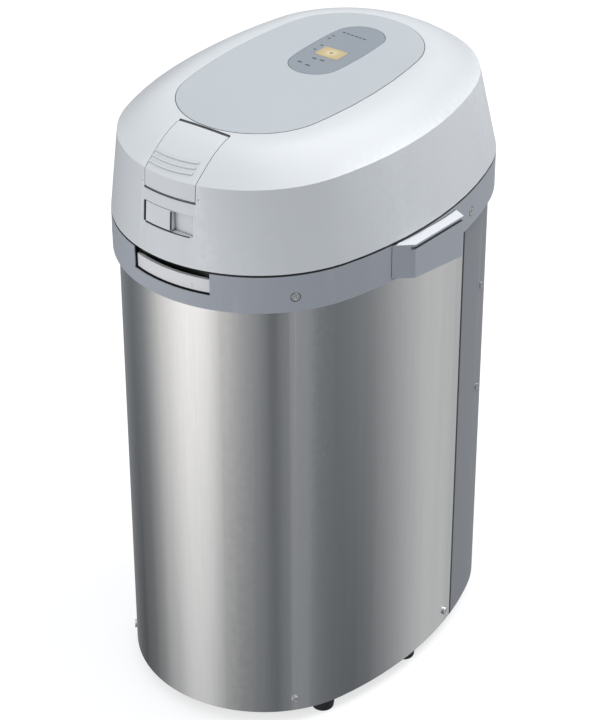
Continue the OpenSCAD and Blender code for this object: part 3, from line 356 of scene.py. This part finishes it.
def lit_tile(name):
    """The lit key: a cream tile with a plain round mark in its middle."""
    material, tree, shader, position, _ = begin(name)
    face = grouped(tree, MOULDED, {"Position": position, "Grain": 1800.0})
    middle = add(tree, "ShaderNodeCombineXYZ", {0: 0.0, 1: KEY_Y, 2: KEY_TOP}).outputs[0]
    away = add(tree, "ShaderNodeVectorMath", {0: position, 1: middle}, operation="DISTANCE").outputs["Value"]
    colour = ramp(tree, math_node(tree, "DIVIDE", away, KEY_REACH), [
        (0.0, (0.3, 0.24, 0.14)), (0.1, (0.34, 0.27, 0.15)), (0.16, (0.66, 0.57, 0.36)),
        (0.45, (0.55, 0.44, 0.22)), (0.75, (0.5, 0.41, 0.23)), (1.0, (0.42, 0.36, 0.26))])
    tree.links.new(mixed(tree, spread(tree, face["Flow"], 0.0, 0.15), colour, (0.46, 0.40, 0.28)),
                   shader.inputs["Base Color"])
    tree.links.new(colour, shader.inputs["Emission Color"])
    shader.inputs["Emission Strength"].default_value = 0.12
    tree.links.new(spread(tree, face["Flow"], 0.3, 0.42), shader.inputs["Roughness"])
    bump(tree, shader, face["Height"], 0.05, PLASTIC_BUMP)
    return material


# The start key: middle, top, and the distance over which its colours run.
key_low, key_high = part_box("start_key")
KEY_Y, KEY_TOP, KEY_REACH = (key_low.y + key_high.y) / 2, key_high.z, 14 * MM

# One material for each slot. Numbers after the colour are the range of roughness.
MATERIALS = {
    "steel": metal("brushed_steel", (0.74, 0.745, 0.75), (0.21, 0.27), relief=0.07, tint=0.05),
    # The ring gets painted shade in its narrow gaps, its front recess, its grooves and along its top under
    # the lid, and a painted highlight on its grips' upper faces.
    "ring_plastic": plastic(
        "ring_plastic", (0.42, 0.447, 0.494), (0.42, 0.5), wear=4.0, seams=2.5,
        recess=(38.6, 1000 * RING_TOP - 21.5, 1.0), ledge=(0.80, 0.82, 0.85),
        rim=(2, 1.0, RING_TOP - 0.9 * MM)),
    # The rear cover gets painted shade in its narrow gaps and along its front edge at the steel.
    "cover_plastic": plastic(
        "cover_plastic", (0.27, 0.285, 0.31), (0.45, 0.54), wear=4.0, seams=2.5,
        rim=(1, -1.0, -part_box("rear_cover")[0].y - 3 * MM)),
    # The lid and the panel get painted shade in their narrow gaps.
    "lid_plastic": plastic(
        "lid_plastic", (0.72, 0.745, 0.77), (0.34, 0.42), coat=0.5, wear=3.0, flow=0.02, seams=2.5),
    "panel_plastic": plastic(
        "panel_plastic", (0.53, 0.565, 0.60), (0.34, 0.42), coat=0.15, flow=0.02, seams=2.0),
    "window_plastic": plastic("window_plastic", (0.27, 0.31, 0.35), (0.2, 0.27), coat=0.3, flow=0.03),
    "lit_plastic": lit_tile("lit_plastic"),
    "silver_trim": plastic("silver_trim", (0.84, 0.84, 0.86), (0.3, 0.38), coat=0.3, wear=4.0),
    "dark_plastic": plastic("dark_plastic", (0.03, 0.03, 0.033), (0.45, 0.56), wear=5.0),
    "foot_rubber": plastic("foot_rubber", (0.018, 0.018, 0.02), (0.65, 0.78), grain=900.0, relief=0.2),
    "seal_rubber": plastic("seal_rubber", (0.05, 0.05, 0.055), (0.6, 0.7), grain=1200.0, relief=0.12),
    "cast_metal": metal(
        "cast_metal", (0.5, 0.5, 0.52), (0.42, 0.55), fineness=500.0, stretch=1.0, relief=0.3),
    "pressed_metal": metal(
        "pressed_metal", (0.6, 0.61, 0.62), (0.3, 0.42), fineness=300.0, stretch=2.0),
    "turned_metal": metal(
        "turned_metal", (0.7, 0.7, 0.71), (0.2, 0.3), fineness=1400.0, stretch=0.05),
    "gear_plastic": plastic("gear_plastic", (0.66, 0.6, 0.48), (0.4, 0.5), wear=4.0),
    "board": plastic("board", (0.03, 0.12, 0.06), (0.35, 0.45), coat=0.3, grain=1500.0),
    "motor_metal": metal(
        "motor_metal", (0.35, 0.35, 0.37), (0.35, 0.48), fineness=700.0, stretch=0.1),
    "core_ceramic": plastic(
        "core_ceramic", (0.62, 0.55, 0.46), (0.75, 0.88), grain=1300.0, relief=0.3),
}

# ---------- pieces ----------

NODE_SLOT = {part["node"]: part["material_slot"] for part in frame["record"]["subparts"]}
# Edges of CAD nodes and of the scene's own pieces that turn more than this stay sharp.
SHARP, OWN_SHARP = math.radians(32), math.radians(40)
# Distance in metres up to which points are joined, and the turn below which faces are flat.
SAME_POINT, FLAT_TURN = 2e-6, math.radians(0.3)


def in_scene(name, data):
    """A new object in the scene."""
    thing = bpy.data.objects.new(name, data)
    bpy.context.scene.collection.objects.link(thing)
    return thing


def dress(node, edge):
    """A smooth copy of a CAD node, its edges softened by edge in mm, which stands for it."""
    source = frame["nodes"][node]
    mesh = source.data.copy()
    form = bmesh.new()
    form.from_mesh(mesh)
    bmesh.ops.remove_doubles(form, verts=form.verts, dist=SAME_POINT)
    bmesh.ops.dissolve_limit(form, angle_limit=FLAT_TURN, verts=form.verts, edges=form.edges)
    for face in form.faces:
        face.smooth = True
    form.to_mesh(mesh)
    form.free()
    mesh.set_sharp_from_angle(angle=SHARP)
    mesh.materials.clear()
    mesh.materials.append(MATERIALS[NODE_SLOT[node]])
    piece = in_scene(node + "_skin", mesh)
    bevel = piece.modifiers.new("rounded edges", "BEVEL")
    bevel.width, bevel.segments = edge * MM, 2
    bevel.limit_method, bevel.angle_limit = "ANGLE", SHARP
    piece.modifiers.new("flat faces", "WEIGHTED_NORMAL").keep_sharp = True
    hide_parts(node)
    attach(piece, source["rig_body"])


# Width of the softened edges in mm. A node that isn't listed has PLAIN_EDGE.
PLAIN_EDGE = 0.25
EDGES = {"lid_shell": 0.8, "release_button": 0.5, "top_ring": 0.5, "side_grips": 1.2, "front_grip": 0.6,
         "steel_jacket": 0.15, "panel_window": 0.2, "start_key": 0.3, "lock_slider": 0.5,
         "rear_cover": 0.4, "feet": 0.8, "container_pot": 0.4, "handle_grip": 0.8}
for name in sorted(frame["nodes"]):
    dress(name, EDGES.get(name, PLAIN_EDGE))


def new_piece(name, mesh, body, slot):
    """A piece of the scene's own on a body, smooth except at its sharp edges."""
    mesh.materials.clear()
    mesh.materials.append(MATERIALS[slot])
    for face in mesh.polygons:
        face.use_smooth = True
    mesh.set_sharp_from_angle(angle=OWN_SHARP)
    piece = in_scene(name, mesh)
    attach(piece, body)


def face_out(mesh, merge=None):
    """Turns a closed mesh's faces outward, after joining points closer than merge."""
    form = bmesh.new()
    form.from_mesh(mesh)
    if merge:
        bmesh.ops.remove_doubles(form, verts=form.verts, dist=merge)
    bmesh.ops.recalc_face_normals(form, faces=form.faces)
    form.to_mesh(mesh)
    form.free()


def outline(inset, steps=72):
    """Points of the ring's outline drawn in by inset: two round ends and two bowed sides."""
    a, b, r = RING_A - inset, RING_B - inset, END_R - inset
    side_r = (a * a + (b - r) ** 2 - r * r) / (2 * (a - r))
    turn = math.atan2(b - r, side_r - a)
    quarter = [(a - side_r + side_r * math.cos(t), side_r * math.sin(t))
               for t in (turn * k / steps for k in range(steps + 1))]
    quarter += [(r * math.cos(t), b - r + r * math.sin(t))
                for t in (turn + (math.pi / 2 - turn) * k / steps for k in range(1, steps + 1))]
    half = quarter + [(-x, y) for x, y in reversed(quarter[:-1])]
    return half + [(x, -y) for x, y in reversed(half[1:-1])]


def oval_band(name, profile, body, slot):
    """A closed band round the body; profile gives its section as (inset, height) in mm."""
    rings = [[(x, y, z * MM) for x, y in outline(inset * MM)] for inset, z in profile]
    count = len(rings[0])
    faces = [(k * count + i, k * count + (i + 1) % count,
              (k + 1) % len(rings) * count + (i + 1) % count, (k + 1) % len(rings) * count + i)
             for k in range(len(rings)) for i in range(count)]
    mesh = bpy.data.meshes.new(name)
    mesh.from_pydata([point for ring in rings for point in ring], [], faces)
    face_out(mesh)
    new_piece(name, mesh, body, slot)


# Section of a thin dark band on the ring's top, laid in the lid's gap as painted shadow: inset from the
# outline and height over the ring's top, in mm.
GAP_SHADOW_SECTION = [(0.5, 0.02), (0.3, 0.45), (0.5, 0.85), (3.4, 0.85), (3.6, 0.4), (3.4, 0.02)]
oval_band("ring_gap_shadow", [(inset, 1000 * RING_TOP + z) for inset, z in GAP_SHADOW_SECTION], "housing", "foot_rubber")


def caster(node):
    """A function that gives where a ray from start along way meets a CAD node."""
    source = frame["nodes"][node].data
    tree = BVHTree.FromPolygons([v.co for v in source.vertices], [p.vertices for p in source.polygons])
    return lambda start, way: tree.ray_cast(Vector(start), Vector(way))[0]


def geometry_tree(name, inputs):
    """An empty geometry tree, with its input and output sockets by name."""
    tree = bpy.data.node_groups.new(name, "GeometryNodeTree")
    tree.interface.new_socket("Geometry", in_out="INPUT", socket_type="NodeSocketGeometry")
    for label, kind in inputs.items():
        tree.interface.new_socket(label, in_out="INPUT", socket_type="NodeSocket" + kind)
    tree.interface.new_socket("Geometry", in_out="OUTPUT", socket_type="NodeSocketGeometry")
    return tree, tree.nodes.new("NodeGroupInput").outputs, tree.nodes.new("NodeGroupOutput").inputs


def finish_tree(tree, shape, given, out):
    """Ends a geometry tree: real meshes with the given finish."""
    real = add(tree, "GeometryNodeRealizeInstances", {"Geometry": shape}).outputs[0]
    dressed = add(tree, "GeometryNodeSetMaterial", {"Geometry": real, "Material": given["Finish"]})
    tree.links.new(dressed.outputs[0], out["Geometry"])


def ribs_tree():
    """Round ribs along the edges of a mesh. Taper is how fast they swell from their ends."""
    tree, given, out = geometry_tree("ribs along lines", {
        "Thickness": "Float", "Sides": "Int", "Taper": "Float", "Finish": "Material"})
    line = add(tree, "GeometryNodeMeshToCurve", {"Mesh": given["Geometry"]}).outputs[0]
    along = add(tree, "GeometryNodeSplineParameter").outputs["Factor"]
    ends = math_node(tree, "MULTIPLY", along, math_node(tree, "SUBTRACT", 1.0, along))
    swell = math_node(tree, "SQRT", math_node(tree, "MULTIPLY", ends, given["Taper"]))
    full = math_node(tree, "MINIMUM", swell, 1.0)
    line = add(tree, "GeometryNodeSetCurveRadius", {"Curve": line, "Radius": full}).outputs[0]
    section = add(tree, "GeometryNodeCurvePrimitiveCircle", {
        "Resolution": given["Sides"], "Radius": given["Thickness"]}).outputs[0]
    rib = add(tree, "GeometryNodeCurveToMesh", {
        "Curve": line, "Profile Curve": section, "Fill Caps": True}).outputs[0]
    finish_tree(tree, rib, given, out)
    return tree


def row_tree():
    """Copies of the incoming mesh in a straight row."""
    tree, given, out = geometry_tree("row of marks", {
        "Count": "Int", "Step": "Vector", "Finish": "Material"})
    line = add(tree, "GeometryNodeMeshLine", {"Count": given["Count"], "Offset": given["Step"]}).outputs[0]
    copies = add(tree, "GeometryNodeInstanceOnPoints", {
        "Points": line, "Instance": given["Geometry"]}).outputs[0]
    finish_tree(tree, copies, given, out)
    return tree


RIBS, ROW = ribs_tree(), row_tree()


def grown(name, mesh, tree, values, body, slot):
    """What a geometry tree makes of the mesh, as a plain piece on the body."""
    source = in_scene(name + "_source", mesh)
    modifier = source.modifiers.new(tree.name, "NODES")
    modifier.node_group = tree
    for socket in tree.interface.items_tree:
        if socket.in_out == "INPUT" and socket.name in values:
            modifier[socket.identifier] = values[socket.name]
    shape = bpy.data.meshes.new_from_object(source.evaluated_get(bpy.context.evaluated_depsgraph_get()))
    bpy.data.objects.remove(source)
    face_out(shape, 1e-6)
    shape.name = name
    new_piece(name, shape, body, slot)


def ribs(name, lines, thickness, taper, body, slot):
    """Ribs along lines of points in metres; thickness is their radius in mm."""
    points, edges = [], []
    for line in lines:
        edges += [(len(points) + k, len(points) + k + 1) for k in range(len(line) - 1)]
        points += line
    mesh = bpy.data.meshes.new(name)
    mesh.from_pydata(points, edges, [])
    grown(name, mesh, RIBS, {
        "Thickness": thickness * MM, "Sides": 10, "Taper": taper, "Finish": MATERIALS[slot]}, body, slot)


def between(low, high, steps=24):
    """Evenly spaced values from low to high."""
    return [low + (high - low) * k / steps for k in range(steps + 1)]


# Ways to cast rays, and tapers: ribs that swell slowly, and dark lines of painted shadow that have their
# full width at once.
DOWN, BACKWARD = (0, 0, -1), (0, 1, 0)
SLOW, ABRUPT = 9.0, 200.0


def button_ribs():
    """Three bowed ribs across the release button."""
    meets = caster("release_button")
    lift = Vector((0, 0, 0.1 * MM))
    lines = []
    for middle in (-166.8, -170.8, -174.8):
        spots = [((x - 3) * MM, (middle + x * x / 160) * MM) for x in between(-21, 21)]
        lines.append([meets((x, y, 1), DOWN) + lift for x, y in spots])
    ribs("button_ribs", lines, 0.9, SLOW, "button", "lid_plastic")


def front_gap_shadows():
    """Dark lines of painted shadow in the gaps where the button and the lock's slot meet the lid, and beside
    the lock's knob.
    """
    meets, knob = caster("lid_shell"), caster("lock_slider")
    rear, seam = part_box("release_button")[1].y + 2.1 * MM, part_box("lid_shell")[0].z + 54.75 * MM
    over = [meets((x * MM, rear, 1), DOWN) for x in between(-25, 24)]
    under = [meets((x * MM, -1, seam), BACKWARD) for x in between(-25, 25)]
    (left, _, low), (right, _, high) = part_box("lock_slider")
    beside = [meets((left - 1.3 * MM, -1, z), BACKWARD) for z in between(low, high, 8)]
    below = [meets((x, -1, low - 0.9 * MM), BACKWARD) for x in between(left, -left - 2 * MM)]
    edge = [knob((right - 0.5 * MM, -1, z), BACKWARD)
            for z in between(low + 0.8 * MM, high - 0.8 * MM, 8)]
    # Each line is a thin near-black tube, painted shadow in its gap.
    for name, lines, radius, body in (
            ("button_gap_shadows", [over, under], 0.6, "lid"), ("slot_side_shadow", [beside], 0.8, "lid"),
            ("slot_low_shadow", [below], 0.5, "lid"), ("knob_side_shadow", [edge], 0.7, "lock")):
        ribs(name, lines, radius, ABRUPT, body, "dark_plastic")


def mark(name, width, depth, place, count, step):
    """A row of small printed bars with rounded ends, just proud of the window, in mm. place is the
    middle of the first, and step leads to the next."""
    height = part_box("panel_window")[1].z
    r = min(width, depth) / 2
    corners = [(sx * (width / 2 - r) + r * math.cos(t), sy * (depth / 2 - r) + r * math.sin(t))
               for sx, sy, t0 in ((1, 1, 0), (-1, 1, 90), (-1, -1, 180), (1, -1, 270))
               for t in (math.radians(t0 + 22.5 * k) for k in range(5))]
    low = [((place[0] + x) * MM, (place[1] + y) * MM, height + 0.01 * MM) for x, y in corners]
    high = [(x, y, height + 0.07 * MM) for x, y, _ in low]
    n = len(low)
    mesh = bpy.data.meshes.new(name)
    mesh.from_pydata(low + high, [], [tuple(range(n - 1, -1, -1)), tuple(range(n, 2 * n))] +
                     [(i, (i + 1) % n, n + (i + 1) % n, n + i) for i in range(n)])
    values = {"Count": count, "Step": tuple(v * MM for v in step), "Finish": MATERIALS["dark_plastic"]}
    grown(name, mesh, ROW, values, "lid", "dark_plastic")


button_ribs()
front_gap_shadows()
for where, *sizes in (("rear", 3.0, 1.5, (-15, 71.5), 6, (4.2, -0.2, 0)),
                      ("left", 2.6, 1.6, (-18.5, 55), 2, (0, 6, 0)),
                      ("side", 2.2, 2.2, (-15.5, 31), 2, (0, 9.5, 0)),
                      ("front", 4.6, 1.7, (-5.6, 16.5), 2, (7.5, 0.4, 0)),
                      ("low", 4.6, 1.7, (-11.4, 4.5), 2, (9, -1.5, 0))):
    mark("window_marks_" + where, *sizes)

# ---------- camera, floor and light ----------

# The camera that was fitted to the photo's outline: angles in radians, metres.
AZIMUTH, ELEVATION, DISTANCE, AIM = 0.634, 0.5638, 2.117, Vector((0, 0, 0.2573))
camera = in_scene("camera", bpy.data.cameras.new("camera"))
bpy.context.scene.camera = camera
back = Vector((math.sin(AZIMUTH) * math.cos(ELEVATION), -math.cos(AZIMUTH) * math.cos(ELEVATION),
               math.sin(ELEVATION)))
camera.location = AIM + DISTANCE * back
camera.rotation_mode = "QUATERNION"
camera.rotation_quaternion = (-back).to_track_quat("-Z", "Y")
camera.data.sensor_width = 36
camera.data.lens = 121.745
camera.data.shift_x, camera.data.shift_y = -0.00875, 0.01264


def floor_material():
    """Pale floor that the camera sees as white where no shadow falls."""
    material = bpy.data.materials.new("floor")
    material.use_nodes = True
    tree = material.node_tree
    tree.nodes.remove(tree.nodes["Principled BSDF"])
    diffuse = add(tree, "ShaderNodeBsdfDiffuse", {"Color": (0.46, 0.46, 0.47, 1)})
    seen = add(tree, "ShaderNodeLightPath").outputs["Is Camera Ray"]
    glow = add(tree, "ShaderNodeEmission", {"Strength": math_node(tree, "MULTIPLY", seen, 0.68)})
    both = add(tree, "ShaderNodeAddShader", {0: diffuse.outputs[0], 1: glow.outputs[0]})
    tree.links.new(both.outputs[0], tree.nodes["Material Output"].inputs["Surface"])
    return material


def make_floor():
    """A wide floor that doesn't show in what shines."""
    mesh = bpy.data.meshes.new("floor")
    half = 6.0
    corners = [(-half, -half, 0), (half, -half, 0), (half, half, 0), (-half, half, 0)]
    mesh.from_pydata(corners, [], [(0, 1, 2, 3)])
    mesh.materials.append(floor_material())
    floor = in_scene("floor", mesh)
    floor.visible_glossy = False


# Light that polished faces show, by the direction in degrees that they look in: 0 is the front, 90
# the right. The high bands show in the upper part of an upright wall, the low ones in its foot, and
# LOW_START and LOW_FULL are the heights of direction between which they change over.
HIGH_BANDS = [
    (-180, 0.5), (-125, 0.3), (-95, 0.17), (-72, 0.34), (-50, 1.0), (-30, 1.42), (-10, 1.38), (6, 0.82),
    (22, 0.52), (38, 0.31), (47, 0.04), (57, 0.38), (69, 0.46), (82, 0.21), (92, 0.18), (104, 0.22),
    (118, 0.27), (132, 0.54), (146, 0.66), (160, 0.6), (172, 0.4)]
LOW_BANDS = [
    (-180, 0.4), (-125, 0.2), (-95, 0.04), (-72, 0.07), (-50, 0.2), (-30, 0.52), (-10, 0.44), (6, 0.12),
    (22, 0.12), (38, 0.18), (47, 0.09), (57, 0.24), (69, 0.31), (82, 0.18), (92, 0.16), (104, 0.14),
    (118, 0.07), (132, 0.26), (146, 0.6), (160, 0.6), (172, 0.35)]
LOW_START, LOW_FULL = -0.47, -0.68
# What the bands are scaled by, since a ramp holds no more than 1.
BAND_PEAK = 1.5
# The bright soft light overhead: toward it, and its colour.
OVERHEAD_WAY, OVERHEAD = Vector((0.3, 0.35, 0.89)).normalized(), (3.2, 3.2, 3.25)


def band_ramp(tree, around, bands):
    """The bands as a colour ramp, cool where they are dark."""
    stops = []
    for direction, value in bands:
        cool = 0.08 * max(-0.3, 1 - value / 0.6)
        v = value / BAND_PEAK
        stops.append(((direction + 180) / 360, (v * (1 - cool), v, v * (1 + cool))))
    return ramp(tree, around, stops)


def mapped(tree, value, low, high):
    """The value, from low to high, laid over the range 0 to 1."""
    return add(tree, "ShaderNodeMapRange", {"Value": value, "From Min": low, "From Max": high}).outputs[0]


def make_world():
    """White for the camera, soft light from above for the rest, and upright bands in what shines."""
    world = bpy.data.worlds.new("studio")
    bpy.context.scene.world = world
    world.use_nodes = True
    tree = world.node_tree
    path = add(tree, "ShaderNodeLightPath").outputs
    direction = add(tree, "ShaderNodeTexCoord").outputs["Generated"]
    split = add(tree, "ShaderNodeSeparateXYZ", {0: direction}).outputs
    turn = math_node(tree, "ARCTAN2", split[0], math_node(tree, "MULTIPLY", split[1], -1.0))
    around = mapped(tree, turn, -math.pi, math.pi)
    lowered = mapped(tree, split[2], LOW_START, LOW_FULL)
    bands = mixed(tree, lowered, band_ramp(tree, around, HIGH_BANDS), band_ramp(tree, around, LOW_BANDS))
    bands = mixed(tree, 1.0, bands, (BAND_PEAK, BAND_PEAK, BAND_PEAK), "MULTIPLY")
    height = mapped(tree, split[2], -1.0, 1.0)
    sky = ramp(tree, height, [(0.0, (0.3, 0.3, 0.3)), (0.5, (0.40, 0.42, 0.45)),
                              (0.75, (0.64, 0.66, 0.68)), (1.0, (0.82, 0.83, 0.84))])
    upward = ramp(tree, height, [(0.5, 0.0), (0.62, 1.0)])
    toward = add(tree, "ShaderNodeVectorMath", {0: direction, 1: OVERHEAD_WAY}, operation="DOT_PRODUCT")
    overhead = ramp(tree, toward.outputs["Value"], [(0.8, 0.0), (0.93, 1.0)])
    shine = mixed(tree, upward, bands, sky)
    shine = mixed(tree, overhead, shine, OVERHEAD)
    seen = mixed(tree, path["Is Glossy Ray"], sky, shine)
    seen = mixed(tree, path["Is Camera Ray"], seen, (1.0, 1.0, 1.0))
    tree.links.new(seen, tree.nodes["Background"].inputs["Color"])


def lamp(name, place, size, watts):
    """A square soft lamp that looks at the body's middle and shows in nothing that shines."""
    data = bpy.data.lights.new(name, "AREA")
    data.size, data.energy = size, watts
    light = in_scene(name, data)
    light.location = place
    light.rotation_mode = "QUATERNION"
    light.rotation_quaternion = (Vector((0, 0, 0.35)) - Vector(place)).to_track_quat("-Z", "Y")
    light.visible_glossy = False


make_floor()
make_world()
lamp("key", (0.75, 0.95, 2.3), 1.2, 22)
lamp("fill", (-1.2, -2.2, 0.65), 1.4, 16)
bpy.context.scene.view_settings.view_transform = "Standard"
